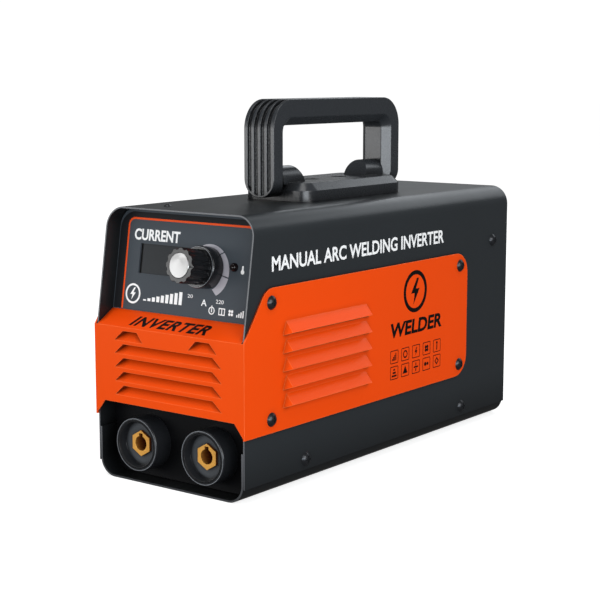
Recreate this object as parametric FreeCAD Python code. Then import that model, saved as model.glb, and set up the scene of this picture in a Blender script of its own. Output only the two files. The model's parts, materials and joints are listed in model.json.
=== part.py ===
"""Portable stick (MMA) welding inverter.

Axes: +X to the right seen from the front, +Y towards the back, +Z up. The origin is at the middle of
the whole object's footprint, on the surface it stands on. Parts are drawn with y = 0 at the front of
the nose grille and are moved back to the origin as they are written out.
"""
import FreeCAD, Part
import math
import os

Vector = FreeCAD.Vector

# ---- casing ----
CASE_W = 115.0            # over the cover's sides
CASE_L = 295.0            # nose face to the rear edge of the cover
CASE_H = 164.0            # floor to the cover's top
SHEET = 1.0               # cover and nose sheet
TRAY_SHEET = 1.2          # tray and panel sheet
COVER_R = 12.5            # outer radius of the cover's long top edges
TRAY_R = 11.0             # outer radius of the tray's long bottom edges
COVER_BOTTOM = 9.0        # height of the cover's lower edges
TRAY_SIDE = 30.0          # height of the tray's side flanges
SLIP = 0.2                # gap between sheets that slide into each other
PANEL_GAP = 0.3           # gap between a panel and the sheet round it

# ---- front ----
NOSE_Z = 93.5             # height of the nose grille's front top edge
LIP_LEAN = 9.0            # degrees that the lip and the control panel lean back
PANEL_Y = 13.8            # depth of the lower panel's face behind the nose
PANEL_FOOT_Z = 102.0      # height where the control panel starts to lean
NOSE_BOTTOM_Z = 47.2      # lower edge of the nose between its corners
NOSE_TIP_Z = 38.0         # lower edge of the side wings
NOSE_TIP_RUN = 7.5        # width of the nose's slanted lower corners

# ---- side wings ----
WING_BACK = 55.0          # from the wing's rear edge to the cover's rear edge
WING_TOP_Z = 122.5
WING_R = 14.0
LOUVRE_COUNT = 5
LOUVRE_PITCH = 10.65
LOUVRE_TOP_LINE_Z = 93.15     # lower edge of the highest side louvre, on the wing
LOUVRE_H = 9.8
LOUVRE_Y = (34.5, 123.0)
LOUVRE_SLANT = 4.0        # how far a louvre's ends lean in
LOUVRE_OUT = 5.0
LOUVRE_LIFT = 2.0         # how far the louvre's free lip is above its lower ends

# ---- front louvres ----
FRONT_ROWS = 4
FRONT_PITCH = 8.42
FRONT_TOP_Z = 83.2        # upper edge of the first full row
FRONT_H = 6.8
FRONT_HALF = (35.9, 43.2)     # half widths at a row's upper and lower edge
FRONT_SHORT = (((-35.8, -22.9), (-43.2, -17.9)),     # upper and lower ends of the two short louvres
               ((21.5, 33.6), (15.3, 39.6)))
FRONT_SHORT_RISE = 8.0
FRONT_IN = 5.5

# ---- control panel, measured from the middle of its foot, up its slope ----
WINDOW = (-38.0, 2.0, 22.4, 40.3)
KNOB_X = 16.5
KNOB_V = 29.7
LAMP_X = 36.5
LAMP_V = 31.5
LAMP_R = 2.5
KNOB_SKIRT_R = 12.3
KNOB_SKIRT_H = 9.0
KNOB_R = 10.2
KNOB_H = 24.4
KNOB_GAP = 0.6            # between the panel and the knob's skirt
CAP_R = 7.3
CAP_DEPTH = 0.9
FLUTES = 12
SHAFT_R = 3.0
RUN_FIT = 0.05            # radial gap of a running fit
BUSH_R = 3.5
BUSH_LEN = 6.0
BOARD_BEHIND = 15.0       # panel face to the control board's front

# ---- output sockets ----
SOCKET_X = 26.1
SOCKET_Z = 23.0
SOCKET_FACE_Y = 0.6
SOCKET_R = 16.4
SOCKET_RING_IN = 13.8
SOCKET_RECESS = 5.8
SOCKET_BARREL_R = 10.5
SOCKET_LEN = 35.6
INSERT_AF = 13.8          # brass hexagon, flat to flat
INSERT_PROUD = 1.7        # hexagon above the recess floor
SOCKET_BORE_R = 4.5
SOCKET_BORE_LEN = 24.0
SOCKET_KEY_W = 3.0
STUD_R = 4.0

# ---- handle ----
HANDLE_MID = 155.1        # middle of the handle behind the nose
HANDLE_LEN = 137.8
HANDLE_TOP = 63.0         # above the cover
HANDLE_FOOT = 2.4         # gap between the loop's feet and the cover
HANDLE_HALF_W = 11.85
HANDLE_THICK = 14.2
HANDLE_TOP_EXTRA = 2.0    # the grip bar is this much thicker than the legs
HANDLE_CHAMFER = 5.2
HANDLE_R = 18.5
GROOVE_PITCH = 5.1
GROOVE_W = 2.8
GROOVE_DEPTH = 2.0
GROOVE_RIM = 1.6
BASE_HALF_W = 26.5
BASE_H = 11.3
BASE_CHAMFER = 4.5
BASE_R = 11.5
BOSS_R = 8.6
BOSS_H = 21.4             # top of the half-round bosses above the cover
BOSS_LEN = 16.5
BOSS_SLOPE = 5.5
PEG_R = 4.5
PEG_LEN = 11.0
HANDLE_SCREWS = 30.0      # spacing of the two handle screws

# ---- screws ----
HEAD_R = 4.2
HEAD_H = 2.4
SHANK_R = 1.9
HOLE_R = 2.0
SHANK_LEN = 8.0
WING_SCREWS = ((25.0, 114.0), (24.7, 46.0))       # behind the nose, above the floor
WING_REAR_IN = 9.5        # rear wing screws, in from the wing's rear edge
COVER_FRONT_SCREW_Y = 58.6
COVER_REAR_SCREW_IN = 59.0    # in from the cover's rear edge
COVER_LOW_Z = 15.5
PANEL_SCREW_IN = 20.0     # rear panel's side screws, in from the cover's rear edge
PANEL_SCREW_Z = 127.4

# ---- rear ----
REAR_RECESS = 8.0
REAR_OUT = 18.0           # how far the cord gland stands out behind the cover
FAN_W = 92.0
FAN_T = 25.0
FAN_Z = 62.0
FAN_BORE_R = 43.5
FAN_TIP_GAP = 1.0
FAN_HUB_R = 17.5
FAN_SCREW_SPAN = 82.5
FAN_HOLE_R = 2.2
GUARD_WIRE_R = 0.9
SWITCH_X = 27.0
SWITCH_Z = 134.0
SWITCH_W = 26.0
SWITCH_H = 21.0
ROCKER_W = 19.0
ROCKER_H = 12.0
ROCKER_TILT = 9.0         # degrees each way
GLAND_X = -28.0
GLAND_Z = 134.0
GLAND_THREAD_R = 9.0
GLAND_BORE_R = 5.0
EARTH_Z = 148.0
EARTH_R = 2.5             # its free end
EARTH_BASE_R = 3.0        # its part through the panel and the nut
EARTH_HEAD_T = 3.5
EARTH_WASHER_T = 1.2
EARTH_NUT_T = 4.5
EARTH_OUT = 14.0

# ---- inside ----
BOARD_T = 1.6
BOARD_Z = 12.0
STRAP_T = 1.5
BOARD_EDGE = 7.4          # from a spacer's axis to the power board's side edge
BOARD_FRONT = 58.0
FAN_GAP = 14.0            # free space between the board and the fan
SPACER_R = 3.2
SINK_H = 62.0
SINK_BASE = 5.0
SINK_FIN = 15.0
SINK_X = 25.0             # inner faces of the heatsinks from the middle
CAN_COUNT = 3
CAN_R = 15.0
CAN_H = 44.0

HALF_W = CASE_W / 2
COVER_IN = HALF_W - SHEET
TRAY_HALF = COVER_IN - SLIP
TRAY_IN = TRAY_HALF - TRAY_SHEET
PANEL_HALF = COVER_IN - PANEL_GAP
PANEL_LOW_HALF = TRAY_IN - PANEL_GAP
WING_OUT = HALF_W + SHEET
WING_END = CASE_L - WING_BACK
FRONT_EDGE = SHEET + SLIP                 # cover and tray start just behind the nose sheet
LEAN = math.radians(LIP_LEAN)
KNOB_FRONT_Y = (PANEL_Y + KNOB_V * math.sin(LEAN) - (KNOB_GAP + KNOB_H) * math.cos(LEAN)
                - KNOB_R * math.sin(LEAN))
MIDDLE_Y = (min(0, KNOB_FRONT_Y) + CASE_L + REAR_OUT) / 2
PANEL_TOP_Z = CASE_H - SHEET - PANEL_GAP
PANEL_TOP_V = (PANEL_TOP_Z - PANEL_FOOT_Z) / math.cos(LEAN)
REAR_FACE = CASE_L - REAR_RECESS          # outer face of the rear panel
REAR_IN = REAR_FACE - TRAY_SHEET
FAN_FRONT = REAR_IN - FAN_T
BOARD_BACK = FAN_FRONT - FAN_GAP
BOARD_TOP = BOARD_Z + BOARD_T
FLANGE = 18.0                             # depth of the panels' side flanges
WING_REAR_SCREWS = tuple((WING_END - WING_REAR_IN, z) for y, z in WING_SCREWS)
COVER_SCREWS = ((COVER_FRONT_SCREW_Y, COVER_LOW_Z), (CASE_L - COVER_REAR_SCREW_IN, COVER_LOW_Z),
                (CASE_L - PANEL_SCREW_IN, PANEL_SCREW_Z))
TOP_SCREW = (-26.0, 31.0)
SOCKET_CENTRES = (-SOCKET_X, SOCKET_X)
FOOT_FLANGE = 14.0                        # depth of the panels' bottom flanges
FOOT_SCREW_X = 40.0
FRONT_FOOT_Y = PANEL_Y + TRAY_SHEET + FOOT_FLANGE / 2
REAR_FOOT_Y = REAR_IN - FOOT_FLANGE / 2
AXES = {"x": Vector(1, 0, 0), "y": Vector(0, 1, 0), "z": Vector(0, 0, 1)}


# ---- drawing helpers ----
def box(x0, x1, y0, y1, z0, z1):
    return Part.makeBox(x1 - x0, y1 - y0, z1 - z0, Vector(x0, y0, z0))


def rod(radius, length, start, axis):
    """A cylinder from start along +X, +Y or +Z; a negative length runs the other way."""
    direction = AXES[axis] * (1 if length > 0 else -1)
    return Part.makeCylinder(radius, abs(length), Vector(*start), direction)


def tube(outer, inner, length, start, axis):
    return rod(outer, length, start, axis).cut(rod(inner, length, start, axis))


def outline(points):
    """A closed face in the XY plane. A point is (a, b) for a sharp corner or (a, b, radius)."""
    edges, ends = [], []
    count = len(points)
    for i, point in enumerate(points):
        corner = Vector(point[0], point[1], 0)
        radius = point[2] if len(point) > 2 else 0
        if radius <= 0:
            ends.append((corner, None, corner))
            continue
        before = Vector(points[i - 1][0], points[i - 1][1], 0) - corner
        after = Vector(points[(i + 1) % count][0], points[(i + 1) % count][1], 0) - corner
        before.normalize()
        after.normalize()
        half = before.getAngle(after) / 2
        run = radius / math.tan(half)
        inward = before + after
        inward.normalize()
        middle = corner + inward * (radius / math.sin(half) - radius)
        ends.append((corner + before * run, middle, corner + after * run))
    for i, (start, middle, end) in enumerate(ends):
        if middle:
            edges.append(Part.Arc(start, middle, end).toShape())
        following = ends[(i + 1) % count][0]
        if end.distanceToPoint(following) > 1e-6:
            edges.append(Part.LineSegment(end, following).toShape())
    return Part.Face(Part.Wire(edges))


def plate_xy(points, z0, z1):
    plate = outline(points).extrude(Vector(0, 0, z1 - z0))
    plate.translate(Vector(0, 0, z0))
    return plate


def plate_xz(points, y0, y1):
    """Points are (x, z)."""
    plate = plate_xy(points, -y1, -y0)
    plate.rotate(Vector(), Vector(1, 0, 0), 90)
    return plate


def plate_yz(points, x0, x1):
    """Points are (y, z)."""
    plate = plate_xy(points, x0, x1)
    plate.rotate(Vector(), Vector(1, 1, 1), 120)
    return plate


def on_panel(shape):
    """Moves a shape drawn with X across, Y up the slope and Z out of the face onto the panel."""
    shape = shape.copy()
    shape.rotate(Vector(), Vector(1, 0, 0), 90 - LIP_LEAN)
    shape.translate(Vector(0, PANEL_Y, PANEL_FOOT_Z))
    return shape


def fuse(shapes):
    shapes = list(shapes)
    return shapes[0].multiFuse(shapes[1:]).removeSplitter() if len(shapes) > 1 else shapes[0]


def cut(shape, tools):
    return shape.cut(Part.makeCompound(list(tools)))


def mirrored(shape):
    return shape.mirror(Vector(), Vector(1, 0, 0))


def both_sides(shapes):
    return [one for shape in shapes for one in (shape, mirrored(shape))]


def channel(half, low, high, sheet, radius):
    """Section of a bent sheet open at the top, points (x, z)."""
    inner = half - sheet
    return [(-half, high), (-half, low, radius), (half, low, radius), (half, high), (inner, high),
            (inner, low + sheet, radius - sheet), (-inner, low + sheet, radius - sheet), (-inner, high)]


def wedge(a0, a1, b0, b1, c0, c1):
    """A solid between three parallel edges a, b and c, each given by its two ends."""
    def face(*corners):
        return Part.Face(Part.makePolygon([Vector(*p) for p in corners + corners[:1]]))
    faces = [face(a0, a1, b1, b0), face(b0, b1, c1, c0), face(c0, c1, a1, a0),
             face(a0, b0, c0), face(a1, c1, b1)]
    solid = Part.Solid(Part.Shell(faces))
    if solid.Volume < 0:
        solid.reverse()
    return solid


def hexagon(flats, length, start, turn=0.0):
    """A hexagonal bar along +Y with a point up."""
    radius = flats / math.sqrt(3)
    points = [(start[0] + radius * math.sin(math.radians(60 * i + turn)),
               start[2] + radius * math.cos(math.radians(60 * i + turn))) for i in range(6)]
    return plate_xz(points, start[1], start[1] + length)


def dome_screw(at, axis, sign, head_r=HEAD_R, head_h=HEAD_H, shank_r=SHANK_R, length=SHANK_LEN):
    """A domed screw. Its head sits on the point at, outside, and its shank runs inwards."""
    ball_r = (head_r ** 2 + head_h ** 2) / (2 * head_h)
    ball = Part.makeSphere(ball_r, Vector(0, 0, head_h - ball_r))
    head = rod(head_r, head_h, (0, 0, 0), "z").common(ball)
    slots = [box(-head_r * 0.5, head_r * 0.5, -0.45, 0.45, head_h - 0.9, head_h + 1)]
    slots.append(slots[0].rotated(Vector(), Vector(0, 0, 1), 90))
    screw = fuse([cut(head, slots), rod(shank_r, -length, (0, 0, 0), "z")])
    if axis == "x":
        screw.rotate(Vector(), Vector(0, 1, 0), 90 * sign)
    elif axis == "y":
        screw.rotate(Vector(), Vector(1, 0, 0), -90 * sign)
    elif sign < 0:
        screw.rotate(Vector(), Vector(1, 0, 0), 180)
    screw.translate(Vector(*at))
    return screw


def side_holes(points, radius=HOLE_R):
    reach = WING_OUT + 5
    return [rod(radius, 2 * reach, (-reach, y, z), "x") for y, z in points]


def write(node, *solids):
    shape = solids[0] if len(solids) == 1 else Part.makeCompound(list(solids))
    shape = shape.copy()
    shape.translate(Vector(0, -MIDDLE_Y, 0))
    for i, solid in enumerate(shape.Solids):
        if not solid.isValid():
            print("not valid:", node, i)
    shape.exportStep("parts/" + node + ".step")


# ---- casing ----
def bottom_tray():
    tray = plate_xz(channel(TRAY_HALF, 0, TRAY_SIDE, TRAY_SHEET, TRAY_R), FRONT_EDGE, CASE_L)
    holes = side_holes(p for p in COVER_SCREWS if p[1] < TRAY_SIDE)
    holes += [foot_screw(x, y, PANEL_GAP / 3) for x, y in foot_places()]
    holes += [rod(HOLE_R, 4, (x, y, -1), "z") for x, y in spacer_places()]
    slots = [plate_xy([(x - 14, y - 1.5, 1.4), (x + 14, y - 1.5, 1.4), (x + 14, y + 1.5, 1.4),
                       (x - 14, y + 1.5, 1.4)], -1, 3)
             for x in (-22, 22) for y in vent_rows()]
    return cut(tray, holes + slots)


def vent_rows():
    """Vent rows in the tray's floor, under the front end of the power board."""
    return [BOARD_FRONT + 16 + 7 * i for i in range(6)]


def foot_places():
    return [(x, y) for x in (-FOOT_SCREW_X, FOOT_SCREW_X) for y in (FRONT_FOOT_Y, REAR_FOOT_Y)]


def foot_screw(x, y, gap=0.0):
    """A countersunk screw, flush with the tray's underside."""
    cone = Part.makeCone(2.9 + gap, 1.4 + gap, TRAY_SHEET, Vector(x, y, 0))
    return fuse([cone, rod(1.4 + gap, 5.5, (x, y, 0), "z")])


def cover():
    inside_out = [(x, CASE_H - z, *r) for x, z, *r in
                  channel(HALF_W, 0, CASE_H - COVER_BOTTOM, SHEET, COVER_R)]
    hood = plate_xz(inside_out, FRONT_EDGE, CASE_L)
    rise = CASE_H - NOSE_Z + 10
    lip = plate_yz([(-10, NOSE_Z), (FRONT_EDGE, NOSE_Z),
                    (FRONT_EDGE + rise * math.tan(LEAN), NOSE_Z + rise), (-10, NOSE_Z + rise)],
                   -CASE_W, CASE_W)
    holes = side_holes(WING_SCREWS + WING_REAR_SCREWS + COVER_SCREWS)
    holes += [rod(HOLE_R * 0.8, 5, (*TOP_SCREW, CASE_H - 3), "z")]
    holes += [rod(2.7, 5, (0, y, CASE_H - 3), "z") for y in handle_screw_rows()]
    vents = [box(-CASE_W, CASE_W, LOUVRE_Y[0] + LOUVRE_SLANT, LOUVRE_Y[1] - LOUVRE_SLANT, z + 0.5,
                 z + LOUVRE_H - 2.5) for z in louvre_rows()]
    return cut(hood, [lip] + holes + vents)


def louvre_rows():
    return [LOUVRE_TOP_LINE_Z - LOUVRE_PITCH * i for i in range(LOUVRE_COUNT)]


def side_louvre(z, proud, inset):
    """The outer or inner form of a louvre that swells out of the right wing and opens downwards."""
    y0, y1 = LOUVRE_Y[0] + inset, LOUVRE_Y[1] - inset
    y2, y3 = y0 + LOUVRE_SLANT, y1 - LOUVRE_SLANT
    top = z + LOUVRE_H - inset
    root, tip = WING_OUT - SHEET, WING_OUT + proud
    lip = z + LOUVRE_LIFT * (proud + SHEET) / (LOUVRE_OUT + SHEET)
    return wedge((root, y2, top), (root, y3, top), (tip, y2, lip), (tip, y3, lip), (root, y0, z),
                 (root, y1, z))


def front_louvre(upper, lower, z_top, height, depth, inset):
    """The outer or inner form of a louvre that is pressed into the nose and opens upwards."""
    upper = (upper[0] + inset, upper[1] - inset)
    lower = (lower[0] + inset * 1.6, lower[1] - inset * 1.6)
    low = z_top - height + inset
    return wedge((upper[0], 0, z_top), (upper[1], 0, z_top), (upper[0], depth, z_top),
                 (upper[1], depth, z_top), (lower[0], 0, low), (lower[1], 0, low))


def front_louvre_rows():
    full = ((-FRONT_HALF[0], FRONT_HALF[0]), (-FRONT_HALF[1], FRONT_HALF[1]))
    rows = [(*full, FRONT_TOP_Z - FRONT_PITCH * i, FRONT_H) for i in range(FRONT_ROWS)]
    return rows + [(*ends, FRONT_TOP_Z + FRONT_SHORT_RISE, FRONT_H) for ends in FRONT_SHORT]


def nose_grille():
    """One bent sheet: nose face, sloped top and two wings on the cover's sides."""
    step = NOSE_TIP_RUN
    front = plate_xz([(-WING_OUT, NOSE_Z), (-WING_OUT, NOSE_TIP_Z), (-WING_OUT + step, NOSE_BOTTOM_Z),
                      (WING_OUT - step, NOSE_BOTTOM_Z), (WING_OUT, NOSE_TIP_Z), (WING_OUT, NOSE_Z)],
                     0, SHEET)
    half = COVER_IN - PANEL_GAP
    back = PANEL_Y - SLIP
    slope = plate_yz([(0, NOSE_Z), (back, PANEL_FOOT_Z - SLIP), (back, PANEL_FOOT_Z - SLIP - SHEET),
                      (SHEET, NOSE_Z - SHEET)], -half, half)
    wing = plate_yz([(0, NOSE_TIP_Z), (WING_END, NOSE_TIP_Z, WING_R), (WING_END, WING_TOP_Z, WING_R),
                     (20.6, WING_TOP_Z, 12), (0, NOSE_Z)], HALF_W, WING_OUT)
    swell = fuse([side_louvre(z, LOUVRE_OUT, 0) for z in louvre_rows()])
    hollow = [side_louvre(z - 0.01, LOUVRE_OUT - SHEET, SHEET) for z in louvre_rows()]
    hollow += [rod(HOLE_R, 6, (HALF_W - 3, y, z), "x") for y, z in WING_SCREWS + WING_REAR_SCREWS]
    wing = cut(fuse([wing, swell]), hollow)
    outer = [front_louvre(*row, FRONT_IN, 0) for row in front_louvre_rows()]
    inner = [front_louvre(*row, FRONT_IN - SHEET, SHEET * 0.8) for row in front_louvre_rows()]
    front = cut(fuse([front] + outer), inner)
    return fuse([front, slope, wing, mirrored(wing)])


def front_panel():
    low = PANEL_LOW_HALF
    high = PANEL_HALF
    floor = TRAY_SHEET + SLIP
    step = TRAY_SIDE + 2
    corner = TRAY_R - TRAY_SHEET
    back = PANEL_Y + TRAY_SHEET
    lower = plate_xz([(-low, floor, corner), (low, floor, corner), (low, step), (high, step),
                      (high, PANEL_FOOT_Z), (-high, PANEL_FOOT_Z), (-high, step), (-low, step)],
                     PANEL_Y, back)
    corner = COVER_R - SHEET
    upper = on_panel(plate_xy([(-high, 0), (high, 0), (high, PANEL_TOP_V, corner),
                               (-high, PANEL_TOP_V, corner)], -TRAY_SHEET, 0))
    lean = math.tan(LEAN)
    top = WING_SCREWS[0][1] + 8
    side = plate_yz([(PANEL_Y, step), (PANEL_Y + FLANGE, step), (PANEL_Y + FLANGE, top),
                     (PANEL_Y + (top - PANEL_FOOT_Z) * lean + 0.3, top), (PANEL_Y + 0.3, PANEL_FOOT_Z)],
                    high - TRAY_SHEET, high)
    brow_y = PANEL_Y + (PANEL_TOP_Z - PANEL_FOOT_Z) * lean
    brow = box(-38, 38, brow_y + 0.4, brow_y + 15, PANEL_TOP_Z - TRAY_SHEET, PANEL_TOP_Z)
    foot = box(-FOOT_SCREW_X - 7, FOOT_SCREW_X + 7, PANEL_Y, back + FOOT_FLANGE, floor,
               floor + TRAY_SHEET)
    x0, x1, v0, v1 = WINDOW
    holes = side_holes(WING_SCREWS)
    holes += [on_panel(box(x0, x1, v0, v1, -5, 5)),
              on_panel(rod(BUSH_R + 0.1, 10, (KNOB_X, KNOB_V, -5), "z")),
              on_panel(rod(LAMP_R + 0.1, 10, (LAMP_X, LAMP_V, -5), "z")),
              rod(HOLE_R * 0.8, 8, (*TOP_SCREW, PANEL_TOP_Z - 4), "z"),
              box(-40, 40, PANEL_Y - 1, back + 1, NOSE_BOTTOM_Z + 8, NOSE_Z - 6)]
    holes += [rod(SOCKET_BARREL_R + 0.1, 10, (x, PANEL_Y - 4, SOCKET_Z), "y") for x in SOCKET_CENTRES]
    holes += [rod(1.5, 6, (x, FRONT_FOOT_Y, 0), "z") for x in (-FOOT_SCREW_X, FOOT_SCREW_X)]
    return cut(fuse([lower, upper, side, mirrored(side), brow, foot]), holes)


def rear_panel():
    low, high = PANEL_LOW_HALF, PANEL_HALF
    floor, step = TRAY_SHEET + SLIP, TRAY_SIDE + 2
    corner = TRAY_R - TRAY_SHEET
    round_top = COVER_R - SHEET
    plate = plate_xz([(-low, floor, corner), (low, floor, corner), (low, step), (high, step),
                      (high, PANEL_TOP_Z, round_top), (-high, PANEL_TOP_Z, round_top), (-high, step),
                      (-low, step)], REAR_IN, REAR_FACE)
    side = box(high - TRAY_SHEET, high, REAR_IN - FLANGE, REAR_FACE, step, PANEL_TOP_Z - round_top - 2)
    foot = box(-FOOT_SCREW_X - 7, FOOT_SCREW_X + 7, REAR_IN - FOOT_FLANGE, REAR_FACE, floor,
               floor + TRAY_SHEET)
    reach = SWITCH_W / 2 - 1.5, SWITCH_H / 2 - 1.5
    holes = side_holes(COVER_SCREWS[2:])
    holes += [rod(FAN_BORE_R, 10, (0, REAR_IN - 4, FAN_Z), "y"),
              box(SWITCH_X - reach[0], SWITCH_X + reach[0], REAR_IN - 2, REAR_FACE + 2,
                  SWITCH_Z - reach[1], SWITCH_Z + reach[1]),
              rod(GLAND_THREAD_R + 0.1, 10, (GLAND_X, REAR_IN - 4, GLAND_Z), "y"),
              rod(EARTH_BASE_R + 0.1, 10, (0, REAR_IN - 4, EARTH_Z), "y")]
    holes += [rod(FAN_HOLE_R, 10, (x, REAR_IN - 4, z), "y") for x, z in fan_corners()]
    holes += [rod(1.5, 6, (x, REAR_FOOT_Y, 0), "z") for x in (-FOOT_SCREW_X, FOOT_SCREW_X)]
    return cut(fuse([plate, side, mirrored(side), foot]), holes)


# ---- handle ----
def handle_screw_rows():
    return (HANDLE_MID - HANDLE_SCREWS / 2, HANDLE_MID + HANDLE_SCREWS / 2)


def handle_arch(inset, foot, drop=0.0):
    """The handle's arch in the YZ plane, set in by inset, down to the height foot."""
    y0, y1 = HANDLE_MID - HANDLE_LEN / 2 + inset, HANDLE_MID + HANDLE_LEN / 2 - inset
    top = CASE_H + HANDLE_TOP - inset - drop
    radius = HANDLE_R - inset
    return [(y0, foot), (y0, top, radius), (y1, top, radius), (y1, foot)]


def handle_loop():
    foot = CASE_H + HANDLE_FOOT
    half = HANDLE_HALF_W
    arch = plate_yz(handle_arch(0, foot), -half, half)
    inner = handle_arch(HANDLE_THICK, foot, HANDLE_TOP_EXTRA)
    window = handle_arch(HANDLE_THICK, foot - 5, HANDLE_TOP_EXTRA)
    loop = arch.cut(plate_yz(window, -half - 1, half + 1))
    edges = [e for e in loop.Edges if abs(abs(e.CenterOfMass.x) - half) < 1e-3
             and inner[0][0] - 0.01 <= e.BoundBox.YMin and e.BoundBox.YMax <= inner[3][0] + 0.01
             and e.BoundBox.ZMax <= inner[1][1] + 0.01 and e.BoundBox.ZMax > foot + 1]
    loop = loop.makeChamfer(HANDLE_CHAMFER, edges)
    y0, y1 = handle_arch(0, foot)[0][0], handle_arch(0, foot)[3][0]
    feet = fuse([plate_xz([(-half, foot + half), (half, foot + half), (half, foot + 90),
                           (-half, foot + 90)], y0 - 1, y1 + 1),
                 rod(half, HANDLE_LEN + 2, (0, y0 - 1, foot + half), "y")])
    loop = loop.common(feet)
    skin = arch.cut(plate_yz(handle_arch(GROOVE_DEPTH, foot - 5), -half - 1, half + 1))
    skin = skin.common(box(-half, half, y0 - 1, y1 - HANDLE_R, foot, foot + 90))
    rim = half - GROOVE_RIM
    skin = skin.common(fuse([box(-rim, rim, y0 - 1, y1, foot + half, foot + 90),
                             rod(rim, HANDLE_LEN, (0, y0 - 1, foot + half), "y")]))
    for i in range(4):
        x = (i - 1.5) * GROOVE_PITCH
        loop = loop.cut(skin.common(box(x - GROOVE_W / 2, x + GROOVE_W / 2, y0 - 1, y1, foot, foot + 90)))
    pegs = [rod(PEG_R, PEG_LEN, (0, y0 + HANDLE_THICK, peg_z()), "y"),
            rod(PEG_R, -PEG_LEN, (0, y1 - HANDLE_THICK, peg_z()), "y")]
    return fuse([loop] + pegs)


def peg_z():
    return CASE_H + BOSS_H - BOSS_R


def handle_base():
    y0 = HANDLE_MID - HANDLE_LEN / 2 + HANDLE_THICK
    y1 = HANDLE_MID + HANDLE_LEN / 2 - HANDLE_THICK
    z0, z1 = CASE_H, CASE_H + BASE_H
    half = BASE_HALF_W
    plate = plate_xy([(-half, y0, BASE_R), (half, y0, BASE_R), (half, y1, BASE_R), (-half, y1, BASE_R)],
                     z0, z1)
    plate = plate.makeChamfer(BASE_CHAMFER, [e for e in plate.Edges if e.BoundBox.ZMin > z1 - 0.01])
    boss = fuse([box(-BOSS_R, BOSS_R, y0, y1, z1 - 1, peg_z()),
                 rod(BOSS_R, y1 - y0, (0, y0, peg_z()), "y")])
    boss = boss.common(box(-half, half, y0, y1, z1 - 1, z1 + 40))
    top = CASE_H + BOSS_H
    gap = plate_yz([(y0 + BOSS_LEN, top + 0.01), (y0 + BOSS_LEN + BOSS_SLOPE, z1),
                    (y1 - BOSS_LEN - BOSS_SLOPE, z1), (y1 - BOSS_LEN, top + 0.01)], -half, half)
    base = fuse([plate, boss.cut(gap)])
    holes = [rod(PEG_R + 0.05, PEG_LEN + 0.5, (0, y0, peg_z()), "y"),
             rod(PEG_R + 0.05, -PEG_LEN - 0.5, (0, y1, peg_z()), "y")]
    for y in handle_screw_rows():
        holes += [rod(2.7, BASE_H + 2, (0, y, z0 - 1), "z"), rod(5.0, 6, (0, y, z1 - 4), "z")]
    return cut(base, holes)


def handle_screws():
    return [dome_screw((0, y, CASE_H + BASE_H - 4), "z", 1, head_r=4.7, head_h=3.0, shank_r=2.5,
                       length=16) for y in handle_screw_rows()]


def handle_nuts():
    nuts = []
    for y in handle_screw_rows():
        z = CASE_H - SHEET - 4.0
        points = [(4.6 * math.cos(math.radians(60 * i)), y + 4.6 * math.sin(math.radians(60 * i)))
                  for i in range(6)]
        nuts.append(plate_xy(points, z, CASE_H - SHEET).cut(rod(2.55, 6, (0, y, z - 1), "z")))
    return nuts


# ---- screws of the casing ----
def wing_screws():
    return both_sides(dome_screw((WING_OUT, y, z), "x", 1) for y, z in WING_SCREWS + WING_REAR_SCREWS)


def clip_nuts():
    """Spring nuts inside the cover behind the rear wing screws."""
    nuts = []
    for y, z in WING_REAR_SCREWS:
        nut = box(COVER_IN - 1.0, COVER_IN, y - 6, y + 6, z - 5, z + 5)
        nut = fuse([nut, rod(3.4, 2.5, (COVER_IN - 3, y, z), "x")])
        nuts.append(nut.cut(rod(HOLE_R, 8, (COVER_IN - 5, y, z), "x")))
    return both_sides(nuts)


def cover_screws():
    return both_sides(dome_screw((HALF_W, y, z), "x", 1) for y, z in COVER_SCREWS)


def top_screw():
    return dome_screw((*TOP_SCREW, CASE_H), "z", 1, head_r=2.4, head_h=1.2, shank_r=1.5, length=6)


# ---- control panel ----
def display_window():
    x0, x1, v0, v1 = WINDOW
    return on_panel(box(x0 - 3, x1 + 3, v0 - 3, v1 + 3, -TRAY_SHEET - 2, -TRAY_SHEET))


def display_module():
    """Three-digit display between the window and the control board."""
    x0, x1, v0, v1 = WINDOW
    return on_panel(box(x0 + 1, x1 - 1, v0 + 1, v1 - 1, -BOARD_BEHIND, -TRAY_SHEET - 2))


def board_span():
    """Control board edges across and up the slope."""
    return WINDOW[0] - 6, LAMP_X + 8, WINDOW[2] - 10, WINDOW[3] + 10


def control_spacer_places():
    x0, x1, v0, v1 = board_span()
    return [(x, v) for x in (x0 + 4, x1 - 4) for v in (v0 + 4, v1 - 4)]


def control_board():
    board = box(*board_span(), -BOARD_BEHIND - BOARD_T, -BOARD_BEHIND)
    return on_panel(cut(board, [rod(1.3, 6, (x, v, -BOARD_BEHIND - 3), "z")
                                for x, v in control_spacer_places()]))


def control_spacers():
    length = BOARD_BEHIND - TRAY_SHEET
    return [on_panel(rod(2.5, length, (x, v, -BOARD_BEHIND), "z")) for x, v in control_spacer_places()]


def potentiometer():
    body = box(KNOB_X - 8, KNOB_X + 8, KNOB_V - 9, KNOB_V + 8, -BOARD_BEHIND, -TRAY_SHEET)
    bush = rod(BUSH_R, BUSH_LEN + TRAY_SHEET, (KNOB_X, KNOB_V, -TRAY_SHEET), "z")
    bore = rod(SHAFT_R + RUN_FIT, BUSH_LEN + 9, (KNOB_X, KNOB_V, -7), "z")
    return on_panel(fuse([body, bush]).cut(bore))


def pot_nut():
    points = [(KNOB_X + 5.8 * math.cos(math.radians(60 * i)),
               KNOB_V + 5.8 * math.sin(math.radians(60 * i))) for i in range(6)]
    return on_panel(plate_xy(points, 0, 2.2).cut(rod(BUSH_R + 0.05, 6, (KNOB_X, KNOB_V, -2), "z")))


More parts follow.
